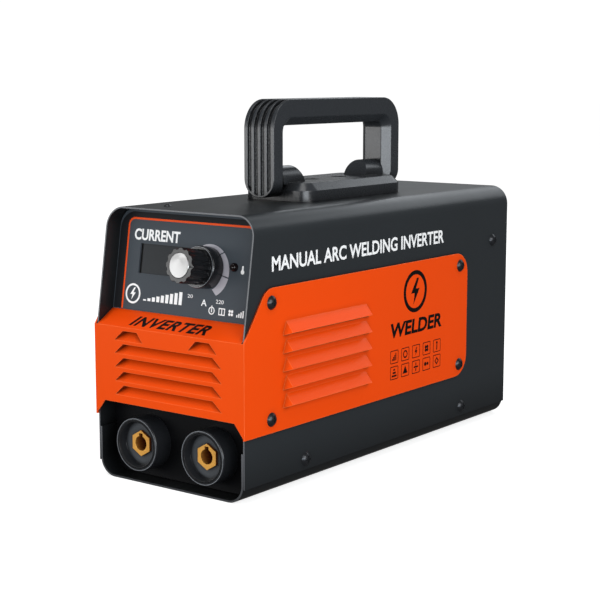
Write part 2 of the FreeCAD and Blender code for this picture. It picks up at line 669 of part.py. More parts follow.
def pot_shaft():
    shaft = rod(SHAFT_R, KNOB_H - 1.0, (KNOB_X, KNOB_V, -6.9), "z")
    flat = box(KNOB_X - 4, KNOB_X + 4, KNOB_V + 1.6, KNOB_V + 4, KNOB_GAP + BUSH_LEN + 2, KNOB_H)
    return on_panel(shaft.cut(flat))


def knob():
    skirt = rod(KNOB_SKIRT_R, KNOB_SKIRT_H, (0, 0, KNOB_GAP), "z")
    skirt = skirt.makeChamfer(0.8, [e for e in skirt.Edges if e.BoundBox.ZMin > KNOB_GAP + 1
                                    and e.BoundBox.ZLength < 0.01])
    grip = rod(KNOB_R, KNOB_H - KNOB_SKIRT_H, (0, 0, KNOB_GAP + KNOB_SKIRT_H), "z")
    flute_r = 2.0
    reach = KNOB_R + flute_r - 0.9
    flutes = [rod(flute_r, KNOB_H, (reach * math.cos(a), reach * math.sin(a),
                                    KNOB_GAP + KNOB_SKIRT_H), "z")
              for a in (2 * math.pi * (i + 0.5) / FLUTES for i in range(FLUTES))]
    top = KNOB_GAP + KNOB_H
    flat = box(-4, 4, 1.65, 4, KNOB_GAP + BUSH_LEN + 2.05, top - 4)
    bore = rod(SHAFT_R + 0.03, top - 7, (0, 0, 0), "z").cut(flat)
    hollow = rod(7.4, 8.0, (0, 0, 0), "z")
    pocket = rod(CAP_R, CAP_DEPTH + 1, (0, 0, top - CAP_DEPTH), "z")
    pointer = box(CAP_R - 0.5, KNOB_R + 1, -0.45, 0.45, top - 0.8, top + 1)
    body = cut(fuse([skirt, cut(grip, flutes)]), [bore, hollow, pocket, pointer])
    body.translate(Vector(KNOB_X, KNOB_V, 0))
    return on_panel(body)


def knob_cap():
    top = KNOB_GAP + KNOB_H
    cap = rod(CAP_R - 0.03, CAP_DEPTH + 0.3, (KNOB_X, KNOB_V, top - CAP_DEPTH), "z")
    return on_panel(cap.makeChamfer(0.25, [e for e in cap.Edges if e.BoundBox.ZMin > top]))


def warning_lamp():
    """A 5 mm lamp with its legs down to the control board."""
    lens = fuse([rod(LAMP_R, 4.0, (LAMP_X, LAMP_V, -3.4), "z"),
                 Part.makeSphere(LAMP_R, Vector(LAMP_X, LAMP_V, 0.6))])
    rim = rod(LAMP_R + 0.4, 1.2, (LAMP_X, LAMP_V, -3.4), "z")
    legs = [rod(0.3, BOARD_BEHIND - 3.4, (LAMP_X + x, LAMP_V, -BOARD_BEHIND), "z") for x in (-1.27, 1.27)]
    return on_panel(fuse([lens, rim] + legs))


# ---- output sockets ----
def socket_housing(x):
    """Insulating body: front ring with a recess, and a barrel through the panel."""
    face = SOCKET_FACE_Y
    flange = rod(SOCKET_R, PANEL_Y - face, (x, face, SOCKET_Z), "y")
    rounded = [e for e in flange.Edges if e.BoundBox.YMax < face + 0.01]
    flange = flange.makeFillet(1.1, rounded)
    barrel = rod(SOCKET_BARREL_R, SOCKET_LEN - (PANEL_Y - face), (x, PANEL_Y, SOCKET_Z), "y")
    recess = rod(SOCKET_RING_IN, SOCKET_RECESS, (x, face, SOCKET_Z), "y")
    pocket_y = face + SOCKET_RECESS - INSERT_PROUD
    pocket = hexagon(INSERT_AF + 0.1, 8, (x, pocket_y, SOCKET_Z))
    core = rod(INSERT_AF / 2 - 0.35, SOCKET_LEN, (x, face, SOCKET_Z), "y")
    return cut(fuse([flange, barrel]), [recess, pocket, core])


def socket_insert(x):
    """Brass: hexagon, round body, rear stud, and the plug's bore with its key slot."""
    front = SOCKET_FACE_Y + SOCKET_RECESS - INSERT_PROUD
    head = hexagon(INSERT_AF, 8, (x, front, SOCKET_Z))
    body_end = SOCKET_FACE_Y + SOCKET_LEN + 2
    body = rod(INSERT_AF / 2 - 0.4, body_end - front - 8, (x, front + 8, SOCKET_Z), "y")
    stud = rod(STUD_R, 14, (x, body_end, SOCKET_Z), "y")
    bore = rod(SOCKET_BORE_R, SOCKET_BORE_LEN, (x, front, SOCKET_Z), "y")
    key = box(x - SOCKET_KEY_W / 2, x + SOCKET_KEY_W / 2, front, front + 18, SOCKET_Z,
              SOCKET_Z + SOCKET_BORE_R + 1.6)
    return cut(fuse([head, body, stud]), [bore, key])


def socket_nuts():
    """Plastic ring nuts that clamp the socket bodies to the panel."""
    back = PANEL_Y + TRAY_SHEET
    return [tube(SOCKET_R - 2.5, SOCKET_BARREL_R + 0.05, 6, (x, back, SOCKET_Z), "y")
            for x in SOCKET_CENTRES]


def strap(x):
    """Copper strap from a socket's stud to the power board."""
    y0 = SOCKET_FACE_Y + SOCKET_LEN + 2
    up = box(x - 8, x + 8, y0, y0 + STRAP_T, BOARD_TOP, SOCKET_Z + 9)
    flat = box(x - 8, x + 8, y0, BOARD_FRONT + 10, BOARD_TOP, BOARD_TOP + STRAP_T)
    hole = rod(STUD_R + 0.1, 6, (x, y0 - 2, SOCKET_Z), "y")
    return fuse([up, flat]).cut(hole)


def strap_nuts():
    y0 = SOCKET_FACE_Y + SOCKET_LEN + 2 + STRAP_T
    return [hexagon(12.5, 5, (x, y0, SOCKET_Z)).cut(rod(STUD_R + 0.05, 8, (x, y0 - 1, SOCKET_Z), "y"))
            for x in SOCKET_CENTRES]


# ---- power electronics ----
def spacer_x():
    """Board spacers stand just inside the tray's rounded corners."""
    return TRAY_IN - (TRAY_R - TRAY_SHEET) - SPACER_R - 0.5


def spacer_places():
    x = spacer_x()
    span = BOARD_BACK - BOARD_FRONT - 12
    return [(side * x, BOARD_FRONT + 6 + span * i / 2) for side in (-1, 1) for i in range(3)]


def power_board():
    half = spacer_x() + BOARD_EDGE
    board = box(-half, half, BOARD_FRONT, BOARD_BACK, BOARD_Z, BOARD_TOP)
    return cut(board, [rod(HOLE_R, 6, (x, y, BOARD_Z - 2), "z") for x, y in spacer_places()])


def board_spacers():
    """Threaded spacers pressed into the tray's floor."""
    spacers = []
    for x, y in spacer_places():
        post = fuse([rod(SPACER_R, BOARD_Z - TRAY_SHEET, (x, y, TRAY_SHEET), "z"),
                     rod(SHANK_R, 2, (x, y, 0.1), "z")])
        spacers.append(post.cut(rod(1.6, BOARD_Z, (x, y, 2.5), "z")))
    return spacers


def board_screws():
    screws = []
    for x, y in spacer_places():
        screws.append(dome_screw((x, y, BOARD_TOP), "z", 1, head_r=2.8, head_h=1.8, shank_r=1.5,
                                 length=8))
    return screws


def sink_span():
    """Heatsinks run from behind the output straps to the transformer."""
    return BOARD_FRONT + 16, BOARD_BACK - 74


def heatsink():
    """Finned aluminium bar on the right; its flat inner face carries the power devices."""
    y0, y1 = sink_span()
    z0 = BOARD_TOP
    web = box(SINK_X, SINK_X + SINK_BASE, y0, y1, z0, z0 + SINK_H)
    count = 9
    fins = [box(SINK_X + SINK_BASE, SINK_X + SINK_BASE + SINK_FIN, y0, y1, z, z + 1.6)
            for z in (z0 + 3 + i * (SINK_H - 5.6) / (count - 1) for i in range(count))]
    return fuse([web] + fins)


def device_places(count):
    y0, y1 = sink_span()
    step = (y1 - y0) / count
    return [y0 + step * (i + 0.5) for i in range(count)]


def power_device(y, side):
    """A flat three-legged power package on a heatsink's inner face."""
    z = BOARD_TOP + 12
    body = box(SINK_X - 5, SINK_X, y - 8, y + 8, z, z + 20.5)
    legs = [box(SINK_X - 3.4, SINK_X - 2.8, y + d - 0.6, y + d + 0.6, BOARD_TOP, z)
            for d in (-5.45, 0, 5.45)]
    device = fuse([body] + legs).cut(rod(1.8, 10, (SINK_X - 8, y, z + 15), "x"))
    return device if side > 0 else mirrored(device)


def transistors():
    return [power_device(y, 1) for y in device_places(4)]


def output_diodes():
    return [power_device(y, -1) for y in device_places(4)]


def device_screws():
    z = BOARD_TOP + 12 + 15
    return both_sides(dome_screw((SINK_X - 5, y, z), "x", -1, head_r=2.8, head_h=1.8, shank_r=1.5,
                                 length=4.9) for y in device_places(4))


def bulk_capacitors():
    """Three cans in a row between the heatsinks."""
    y0, y1 = sink_span()
    step = (y1 - y0 - 4) / CAN_COUNT
    radius = min(CAN_R, step / 2 - 0.5)
    cans = []
    for i in range(CAN_COUNT):
        can = rod(radius, CAN_H, (0, y0 + 4 + step * (i + 0.5), BOARD_TOP), "z")
        rim = [e for e in can.Edges if e.BoundBox.ZMin > BOARD_TOP + CAN_H - 1 and e.BoundBox.ZLength < 0.01]
        cans.append(can.makeFillet(1.5, rim))
    return cans


def transformer_middle():
    return BOARD_BACK - 34, BOARD_TOP + 26


def transformer_core():
    """A pair of E cores, drawn as one block with two windows."""
    y, z = transformer_middle()
    block = box(-28, 28, y - 11, y + 11, z - 26, z + 26)
    windows = [box(s * 9 if s > 0 else -21, 21 if s > 0 else -9, y - 12, y + 12, z - 18, z + 18)
               for s in (-1, 1)]
    return cut(block, windows)


def transformer_winding():
    y, z = transformer_middle()
    coil = box(-20.6, 20.6, y - 22, y + 22, z - 17.6, z + 17.6)
    coil = coil.makeFillet(8, [e for e in coil.Edges if e.BoundBox.ZLength > 30])
    return coil.cut(box(-9.3, 9.3, y - 11.3, y + 11.3, z - 20, z + 20))


def rectifier():
    """Mains bridge rectifier beside the transformer."""
    y, z = transformer_middle()
    block = box(31.5, 46, y - 14, y + 14, BOARD_TOP, BOARD_TOP + 28)
    return block.cut(rod(2.2, 30, (25, y, BOARD_TOP + 16), "x"))


def soft_start_relay():
    y, z = transformer_middle()
    return box(-46, -31, y - 14, y + 15, BOARD_TOP, BOARD_TOP + 26)


def driver_card():
    """Upright gate-driver card behind the transformer."""
    y = BOARD_BACK - 7
    card = box(-30, 30, y, y + BOARD_T, BOARD_TOP, BOARD_TOP + 42)
    return card


def driver_chips():
    y = BOARD_BACK - 7
    return [box(x - 4, x + 4, y - 2.4, y, BOARD_TOP + z, BOARD_TOP + z + 10)
            for x in (-20, -7, 7, 20) for z in (10, 26)]


# ---- rear ----
def fan_corners():
    half = FAN_SCREW_SPAN / 2
    return [(x, FAN_Z + z) for x in (-half, half) for z in (-half, half)]


def fan_frame():
    half = FAN_W / 2
    y0, y1 = FAN_FRONT, REAR_IN
    frame = plate_xz([(-half, FAN_Z - half, 4), (half, FAN_Z - half, 4), (half, FAN_Z + half, 4),
                      (-half, FAN_Z + half, 4)], y0, y1)
    waist = tube(FAN_W, half + 0.6, FAN_T - 8, (0, y0 + 4, FAN_Z), "y")
    keep = [rod(5, FAN_T, (x, y0, z), "y") for x, z in fan_corners()]
    waist = cut(waist, keep)
    frame = cut(frame, [rod(FAN_BORE_R, FAN_T, (0, y0, FAN_Z), "y"), waist])
    frame = cut(frame, [rod(FAN_HOLE_R, FAN_T + 2, (x, y0 - 1, z), "y") for x, z in fan_corners()])
    hub = rod(FAN_HUB_R, 4, (0, y0, FAN_Z), "y")
    struts = [box(-2, 2, y0, y0 + 3, FAN_Z + FAN_HUB_R - 2, FAN_Z + FAN_BORE_R + 0.5)
              .rotate(Vector(0, 0, FAN_Z), Vector(0, 1, 0), 45 + 90 * i) for i in range(4)]
    post = rod(4, 8, (0, y0, FAN_Z), "y")
    bore = rod(1.5 + RUN_FIT, FAN_T, (0, y0 + 1.5, FAN_Z), "y")
    return fuse([frame, hub, post] + struts).cut(bore)


def fan_rotor():
    """Cup-shaped hub on a 3 mm shaft, with seven slanted blades."""
    y0, y1 = FAN_FRONT + 5.5, REAR_IN - 2
    cup = rod(FAN_HUB_R, y1 - y0, (0, y0, FAN_Z), "y").cut(rod(FAN_HUB_R - 2, y1 - y0 - 2, (0, y0, FAN_Z), "y"))
    shaft = rod(1.5, y1 - FAN_FRONT - 3, (0, FAN_FRONT + 2, FAN_Z), "y")
    reach = FAN_BORE_R - FAN_TIP_GAP
    annulus = tube(reach, FAN_HUB_R - 1, FAN_T, (0, FAN_FRONT, FAN_Z), "y")
    depth = y1 - y0 - 2
    blades = []
    for i in range(7):
        curve = [(-9, y0 + 1), (-7.6, y0 + 1), (9.4, y0 + 1 + depth), (8, y0 + 1 + depth)]
        blade = plate_xy(curve, 0, reach + 2)
        blade.translate(Vector(0, 0, FAN_Z))
        blade.rotate(Vector(0, 0, FAN_Z), Vector(0, 1, 0), 360.0 * i / 7)
        blades.append(blade.common(annulus))
    return fuse([cup, shaft] + blades)


def fan_guard():
    """Wire finger guard on the outside of the rear panel."""
    y = REAR_FACE + GUARD_WIRE_R
    rings = [Part.makeTorus(r, GUARD_WIRE_R, Vector(0, y + 2, FAN_Z), Vector(0, 1, 0))
             for r in (11, 21, 31, 41)]
    reach = FAN_SCREW_SPAN / math.sqrt(2) - 3.75
    spokes = [rod(GUARD_WIRE_R, 2 * reach, (-reach, y + 0.8, FAN_Z), "x")
              .rotate(Vector(0, 0, FAN_Z), Vector(0, 1, 0), 45 + 90 * i) for i in range(2)]
    eyes = [tube(4.2, FAN_HOLE_R, 2 * GUARD_WIRE_R, (x, REAR_FACE, z), "y") for x, z in fan_corners()]
    return fuse(rings + spokes + eyes)


def fan_screws():
    return [dome_screw((x, REAR_FACE + 2 * GUARD_WIRE_R, z), "y", 1, head_r=3.6, head_h=2.2,
                       shank_r=2.0, length=FAN_T + 8) for x, z in fan_corners()]


def fan_nuts():
    return [hexagon(7, 3, (x, FAN_FRONT - 3, z)).cut(rod(2.05, 6, (x, FAN_FRONT - 4, z), "y"))
            for x, z in fan_corners()]


def power_switch():
    """Snap-in rocker switch body."""
    reach = SWITCH_W / 2, SWITCH_H / 2
    lip = plate_xz([(SWITCH_X + sx * (reach[0] + 1), SWITCH_Z + sz * (reach[1] + 1), 1.5)
                    for sx, sz in ((-1, -1), (1, -1), (1, 1), (-1, 1))], REAR_FACE, REAR_FACE + 2)
    body = box(SWITCH_X - reach[0] + 1.7, SWITCH_X + reach[0] - 1.7, REAR_FACE - 22, REAR_FACE + 1,
               SWITCH_Z - reach[1] + 1.7, SWITCH_Z + reach[1] - 1.7)
    well = box(SWITCH_X - ROCKER_W / 2 - 0.3, SWITCH_X + ROCKER_W / 2 + 0.3, REAR_FACE - 9,
               REAR_FACE + 5, SWITCH_Z - ROCKER_H / 2 - 1.3, SWITCH_Z + ROCKER_H / 2 + 1.3)
    tabs = [box(SWITCH_X + x - 0.4, SWITCH_X + x + 0.4, REAR_FACE - 30, REAR_FACE - 21, SWITCH_Z - 2.4,
                SWITCH_Z + 2.4) for x in (-7, 0, 7)]
    pin = rod(1.5, ROCKER_W + 2, (SWITCH_X - ROCKER_W / 2 - 1, REAR_FACE - 4, SWITCH_Z), "x")
    return fuse([fuse([lip, body]).cut(well), pin] + tabs)


def switch_rocker():
    """Rocker on the switch body's cross pin, at rest in the off position with its top out."""
    half_w, half_h = ROCKER_W / 2, ROCKER_H / 2
    y = REAR_FACE - 4
    rocker = plate_yz([(y - 3, SWITCH_Z - 3.2, 2), (y + 4.6, SWITCH_Z - half_h, 1), (y + 7.4, SWITCH_Z),
                       (y + 4.6, SWITCH_Z + half_h, 1), (y - 3, SWITCH_Z + 3.2, 2)],
                      SWITCH_X - half_w, SWITCH_X + half_w)
    rocker = rocker.cut(rod(1.5 + RUN_FIT, ROCKER_W + 2, (SWITCH_X - half_w - 1, y, SWITCH_Z), "x"))
    rocker.rotate(Vector(SWITCH_X, y, SWITCH_Z), Vector(1, 0, 0), -ROCKER_TILT)
    return rocker


def gland_body():
    """Cord gland: threaded sleeve with a hexagonal collar outside the rear panel."""
    sleeve = rod(GLAND_THREAD_R, 16, (GLAND_X, REAR_IN - 7, GLAND_Z), "y")
    collar = hexagon(24, 5, (GLAND_X, REAR_FACE, GLAND_Z))
    return fuse([sleeve, collar]).cut(rod(GLAND_BORE_R, 40, (GLAND_X, REAR_IN - 10, GLAND_Z), "y"))


def gland_dome():
    y0 = REAR_FACE + 5
    y1 = CASE_L + REAR_OUT
    nut = hexagon(22, 8, (GLAND_X, y0, GLAND_Z))
    tip = Part.makeCone(11, 8, y1 - y0 - 8, Vector(GLAND_X, y0 + 8, GLAND_Z), Vector(0, 1, 0))
    sleeve_end = REAR_IN - 7 + 16
    seat = rod(GLAND_THREAD_R + 0.05, sleeve_end - y0, (GLAND_X, y0, GLAND_Z), "y")
    return fuse([nut, tip]).cut(seat).cut(rod(GLAND_BORE_R, 60, (GLAND_X, y0 - 5, GLAND_Z), "y"))


def gland_nut():
    return hexagon(24, 5, (GLAND_X, REAR_IN - 5, GLAND_Z)).cut(
        rod(GLAND_THREAD_R + 0.05, 12, (GLAND_X, REAR_IN - 8, GLAND_Z), "y"))


def earth_stud():
    """Stepped stud with its head inside the rear panel and a thinner free end."""
    head = REAR_IN - EARTH_HEAD_T
    step = REAR_FACE + EARTH_WASHER_T + EARTH_NUT_T + 0.4
    return fuse([hexagon(10, EARTH_HEAD_T, (0, head, EARTH_Z)),
                 rod(EARTH_BASE_R, step - head, (0, head, EARTH_Z), "y"),
                 rod(EARTH_R, REAR_FACE + EARTH_OUT - head, (0, head, EARTH_Z), "y")])


def earth_washer():
    return tube(6, EARTH_BASE_R + 0.05, EARTH_WASHER_T, (0, REAR_FACE, EARTH_Z), "y")


def earth_nut():
    nut = hexagon(10, EARTH_NUT_T, (0, REAR_FACE + EARTH_WASHER_T, EARTH_Z))
    return nut.cut(rod(EARTH_BASE_R + 0.05, 12, (0, REAR_FACE, EARTH_Z), "y"))


def build():
    os.makedirs("parts", exist_ok=True)
    write("bottom_tray", bottom_tray())
    write("cover", cover())
    write("nose_grille", nose_grille())
    write("front_panel", front_panel())
    write("rear_panel", rear_panel())
    write("handle_loop", handle_loop())
    write("handle_base", handle_base())
    write("handle_screws", *handle_screws())
    write("handle_nuts", *handle_nuts())
    write("wing_screws", *wing_screws())
    write("clip_nuts", *clip_nuts())
    write("cover_screws", *cover_screws())
    write("top_screw", top_screw())
    write("panel_foot_screws", *[foot_screw(x, y) for x, y in foot_places()])
    write("display_window", display_window())
    write("display_module", display_module())
    write("control_board", control_board())
    write("control_spacers", *control_spacers())
    write("potentiometer", potentiometer())
    write("pot_nut", pot_nut())
    write("pot_shaft", pot_shaft())
    write("knob", knob())
    write("knob_cap", knob_cap())
    write("warning_lamp", warning_lamp())
    for side, x in zip(("left", "right"), SOCKET_CENTRES):
        write("socket_housing_" + side, socket_housing(x))
        write("socket_insert_" + side, socket_insert(x))
    write("output_straps", *[strap(x) for x in SOCKET_CENTRES])
    write("socket_nuts", *socket_nuts())
    write("strap_nuts", *strap_nuts())
    write("power_board", power_board())
    write("board_spacers", *board_spacers())
    write("board_screws", *board_screws())
    write("heatsink_right", heatsink())
    write("heatsink_left", mirrored(heatsink()))
    write("power_transistors", *transistors())
    write("output_diodes", *output_diodes())
    write("device_screws", *device_screws())
    write("bulk_capacitors", *bulk_capacitors())
    write("transformer_core", transformer_core())
    write("transformer_winding", transformer_winding())
    write("bridge_rectifier", rectifier())
    write("soft_start_relay", soft_start_relay())
    write("driver_card", driver_card())
    write("driver_chips", *driver_chips())
    write("fan_frame", fan_frame())
    write("fan_rotor", fan_rotor())
    write("fan_guard", fan_guard())
    write("fan_screws", *fan_screws())
    write("fan_nuts", *fan_nuts())
    write("power_switch", power_switch())
    write("switch_rocker", switch_rocker())
    write("gland_body", gland_body())
    write("gland_dome_nut", gland_dome())
    write("gland_lock_nut", gland_nut())
    write("earth_stud", earth_stud())
    write("earth_washer", earth_washer())
    write("earth_nut", earth_nut())


build()
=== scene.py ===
import json
import math

import bmesh
import bpy
from mathutils import Matrix, Vector


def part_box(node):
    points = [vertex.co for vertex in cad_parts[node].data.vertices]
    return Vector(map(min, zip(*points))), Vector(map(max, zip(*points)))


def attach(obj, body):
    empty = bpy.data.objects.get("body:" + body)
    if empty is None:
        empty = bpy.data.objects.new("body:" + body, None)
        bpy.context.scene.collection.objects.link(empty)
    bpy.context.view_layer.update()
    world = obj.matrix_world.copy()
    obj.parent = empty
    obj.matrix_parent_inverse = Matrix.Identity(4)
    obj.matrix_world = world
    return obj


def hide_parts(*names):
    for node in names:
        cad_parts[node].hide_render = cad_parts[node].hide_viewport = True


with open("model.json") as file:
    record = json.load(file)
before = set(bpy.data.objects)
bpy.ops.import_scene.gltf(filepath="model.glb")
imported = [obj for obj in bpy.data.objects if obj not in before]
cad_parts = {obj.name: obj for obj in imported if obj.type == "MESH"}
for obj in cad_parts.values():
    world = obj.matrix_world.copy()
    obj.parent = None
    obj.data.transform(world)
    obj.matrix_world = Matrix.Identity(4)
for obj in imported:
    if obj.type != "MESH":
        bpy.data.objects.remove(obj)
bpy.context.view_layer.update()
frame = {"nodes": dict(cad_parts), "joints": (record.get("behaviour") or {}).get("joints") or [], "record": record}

MM = 0.001
NODES = frame["nodes"]
SLOT_OF = {s["node"]: s["material_slot"] for s in frame["record"]["subparts"]}
BODY_OF = {n: b for b, names in frame["record"]["behaviour"]["bodies"].items() for n in names}
KNOB_JOINT = next(j for j in frame["joints"] if j["name"] == "knob_turn")
FRONT_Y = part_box("nose_grille")[0].y          # the nose's front face
SIDE_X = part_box("cover")[1].x                 # the cover's right side
NOSE_SHEET = 1.0                              # thickness of the nose sheet on the cover's side, mm


# ---- places ----
def spot(x, y, z):
    """A point given in mm from the middle of the nose's foot."""
    return Vector((x * MM, FRONT_Y + y * MM, z * MM))


def basis(origin, across, up):
    """A matrix that lays flat artwork on a face: x along across, y along up, z out of the face."""
    across, up = across.normalized(), up.normalized()
    out = across.cross(up)
    return Matrix.Translation(origin) @ Matrix((across, up, out)).transposed().to_4x4()


PANEL_OUT = Vector(KNOB_JOINT["axis"]).normalized()
PANEL_UP = Vector((0, PANEL_OUT.z, -PANEL_OUT.y))
SOCKET_DEPTH = 5.8                            # depth of a socket's front recess, mm
WINDOW = "display_window"
SKIRT_FRONT = 9.6                             # front of the knob's skirt above the panel, mm
KNOB_AT = (16.5, 29.7)                        # knob's place on the panel, mm from its foot
NOSE_TOP = 93.5                               # height of the nose's front top edge, mm
NOSE_SLOPE = (13.6, 8.3)                      # depth and rise of the nose's sloped top, mm
BORDER = (49.4, 55.8, 5.0)                    # panel line: half width, top and corner radius, mm
BORDER_FOOT = 0.2                             # lower end of the panel line, mm
PRINT = 0.03                                  # thickness of printed graphics, mm
FILL = 0.55                                   # strength of the studio's light on matt surfaces
DARK = 0.085                                  # strength of the studio in reflections
LENS = 87.81                                  # focal length on a sensor 36 mm wide, mm
EYE = (569.56, -617.65, 242.07)               # the camera's place, mm from the middle of the nose's foot
EYE_TILT = 81.24                              # degrees up from looking straight down
EYE_TURN = 37.373                             # degrees to the left of looking straight back
FLOOR_HALF = 12.0                             # half the floor's width, m
FLOOR_DROP = 0.0002                           # gap between the object and the floor, m
PANEL = (basis(Vector(KNOB_JOINT["pos_m"]), Vector((1, 0, 0)), PANEL_UP)
         @ Matrix.Translation(Vector((-KNOB_AT[0], -KNOB_AT[1], 0)) * MM))
RIGHT = basis(spot(0, 0, 0) + Vector((SIDE_X, 0, 0)), Vector((0, 1, 0)), Vector((0, 0, 1)))
LEFT = basis(spot(0, 0, 0) - Vector((SIDE_X, 0, 0)), Vector((0, -1, 0)), Vector((0, 0, 1)))


# ---- materials ----
class Nodes:
    """A small helper that wires up a material's node tree."""

    def __init__(self, name):
        self.material = bpy.data.materials.new(name)
        self.material.use_nodes = True
        self.tree = self.material.node_tree
        self.shader = self.tree.nodes["Principled BSDF"]

    def add(self, kind, **settings):
        node = self.tree.nodes.new(kind)
        for key, value in settings.items():
            if key in node.inputs:
                node.inputs[key].default_value = value
            else:
                setattr(node, key, value)
        return node

    def link(self, out, into):
        self.tree.links.new(out, into)

    def noise(self, scale, detail=3.0, rough=0.5, stretch=None):
        coords = self.add("ShaderNodeTexCoord")
        source = coords.outputs["Object"]
        if stretch:
            mapping = self.add("ShaderNodeMapping", Scale=stretch)
            self.link(source, mapping.inputs["Vector"])
            source = mapping.outputs["Vector"]
        noise = self.add("ShaderNodeTexNoise", Scale=scale, Detail=detail, Roughness=rough)
        self.link(source, noise.inputs["Vector"])
        return noise.outputs["Fac"]

    def ramp(self, source, low, high):
        node = self.add("ShaderNodeMapRange")
        node.inputs["To Min"].default_value = low
        node.inputs["To Max"].default_value = high
        self.link(source, node.inputs["Value"])
        return node.outputs["Result"]


def surface(name, color, rough, metallic=0.0, vary=0.08, rough_vary=0.06, grain=700.0, bump=0.02,
            specular=0.5, stretch=None, painted_shade_reach=0.0, painted_shade_color=(0.002, 0.002, 0.002),
            rounding=0.0, tint=(1, 1, 1), painted_shade_below=None, painted_edge_highlight=None, painted_bend_highlight=None):
    """A finish with fine grain, slow colour drift and uneven gloss.

    crevice (mm) darkens tight corners and recesses with painted shade, rounding (mm) softens edges in the shading
    only, and split (height in mm, colour) gives the part below that height a second colour as painted shade.
    painted_edge_highlight is the colour of a painted highlight on edges that face forwards, bends that of a
    painted highlight along each sharp bend, and tint colours the gloss."""
    n = Nodes(name)
    shader = n.shader
    shader.inputs["Specular Tint"].default_value = (*tint, 1)
    shader.inputs["Metallic"].default_value = metallic
    shader.inputs["Specular IOR Level"].default_value = specular
    drift = n.noise(18.0, 2.0)
    shade = n.add("ShaderNodeMix", data_type="RGBA", blend_type="MIX")
    dark = [c * (1 - vary) for c in color]
    light = [min(1.0, c * (1 + vary)) for c in color]
    shade.inputs["A"].default_value = (*dark, 1)
    shade.inputs["B"].default_value = (*light, 1)
    n.link(drift, shade.inputs["Factor"])
    base = shade.outputs["Result"]
    # painted shade: the part below the given height takes the darker second colour
    if painted_shade_below:
        base = paint_shade_below_height(n, base, *painted_shade_below)
    # painted highlight: a paler colour on edges that face forwards
    if painted_edge_highlight:
        base = paint_front_edge_highlight(n, base, painted_edge_highlight)
    # painted highlight: a paler line along each sharp bend
    if painted_bend_highlight:
        base = paint_bend_highlight_line(n, base, painted_bend_highlight)
    # painted shade: darker colour in corners, grooves and recesses
    if painted_shade_reach:
        base = painted_corner_shade(n, base, painted_shade_reach, painted_shade_color)
    n.link(base, shader.inputs["Base Color"])
    fine = n.noise(grain, 3.0, 0.6, stretch)
    smear = n.noise(45.0, 3.0)
    blend = n.add("ShaderNodeMath", operation="ADD")
    n.link(fine, blend.inputs[0])
    n.link(smear, blend.inputs[1])
    half = n.add("ShaderNodeMath", operation="MULTIPLY")
    half.inputs[1].default_value = 0.5
    n.link(blend.outputs[0], half.inputs[0])
    n.link(n.ramp(half.outputs[0], rough - rough_vary, rough + rough_vary), shader.inputs["Roughness"])
    lump = n.add("ShaderNodeBump")
    lump.inputs["Strength"].default_value = 1.0
    lump.inputs["Distance"].default_value = bump * MM
    n.link(fine, lump.inputs["Height"])
    if rounding:
        edge = n.add("ShaderNodeBevel", Radius=rounding * MM, samples=6)
        n.link(edge.outputs["Normal"], lump.inputs["Normal"])
    n.link(lump.outputs["Normal"], shader.inputs["Normal"])
    return n.material


def paint_shade_below_height(n, base, height, color):
    """Gives everything below a height (mm) another colour, used as painted shade."""
    coords = n.add("ShaderNodeTexCoord")
    parts = n.add("ShaderNodeSeparateXYZ")
    n.link(coords.outputs["Object"], parts.inputs[0])
    above = n.add("ShaderNodeMapRange")
    above.inputs["From Min"].default_value = (height - 0.3) * MM
    above.inputs["From Max"].default_value = (height + 0.3) * MM
    n.link(parts.outputs["Z"], above.inputs["Value"])
    pick = n.add("ShaderNodeMix", data_type="RGBA", blend_type="MIX")
    pick.inputs["A"].default_value = (*color, 1)
    n.link(base, pick.inputs["B"])
    n.link(above.outputs["Result"], pick.inputs["Factor"])
    return pick.outputs["Result"]


def paint_front_edge_highlight(n, base, color):
    """Paints a highlight onto the sheet's edge, which faces straight forwards, as a paler colour."""
    shape = n.add("ShaderNodeNewGeometry")
    parts = n.add("ShaderNodeSeparateXYZ")
    n.link(shape.outputs["Normal"], parts.inputs[0])
    facing = n.add("ShaderNodeMapRange")
    facing.inputs["From Min"].default_value = -0.8
    facing.inputs["From Max"].default_value = -0.95
    n.link(parts.outputs["Y"], facing.inputs["Value"])
    pick = n.add("ShaderNodeMix", data_type="RGBA", blend_type="MIX")
    n.link(base, pick.inputs["A"])
    pick.inputs["B"].default_value = (*color, 1)
    n.link(facing.outputs["Result"], pick.inputs["Factor"])
    return pick.outputs["Result"]


def paint_bend_highlight_line(n, base, color):
    """Paints a thin highlight line along each sharp bend."""
    edge = n.add("ShaderNodeBevel", Radius=0.45 * MM, samples=8)
    shape = n.add("ShaderNodeNewGeometry")
    align = n.add("ShaderNodeVectorMath", operation="DOT_PRODUCT")
    n.link(edge.outputs["Normal"], align.inputs[0])
    n.link(shape.outputs["Normal"], align.inputs[1])
    turned = n.add("ShaderNodeMapRange")
    turned.inputs["From Min"].default_value = 0.995
    turned.inputs["From Max"].default_value = 0.95
    turned.inputs["To Max"].default_value = 0.6
    n.link(align.outputs["Value"], turned.inputs["Value"])
    pick = n.add("ShaderNodeMix", data_type="RGBA", blend_type="MIX")
    n.link(base, pick.inputs["A"])
    pick.inputs["B"].default_value = (*color, 1)
    n.link(turned.outputs["Result"], pick.inputs["Factor"])
    return pick.outputs["Result"]


def painted_corner_shade(n, base, reach, color):
    """Paints shade into places that little light gets into."""
    shut = n.add("ShaderNodeAmbientOcclusion", Distance=reach * MM, samples=8)
    deep = n.add("ShaderNodeMath", operation="POWER")
    deep.inputs[1].default_value = 1.6
    n.link(shut.outputs["AO"], deep.inputs[0])
    dim = n.add("ShaderNodeMix", data_type="RGBA", blend_type="MIX")
    dim.inputs["A"].default_value = (*color, 1)
    n.link(base, dim.inputs["B"])
    n.link(deep.outputs[0], dim.inputs["Factor"])
    return dim.outputs["Result"]


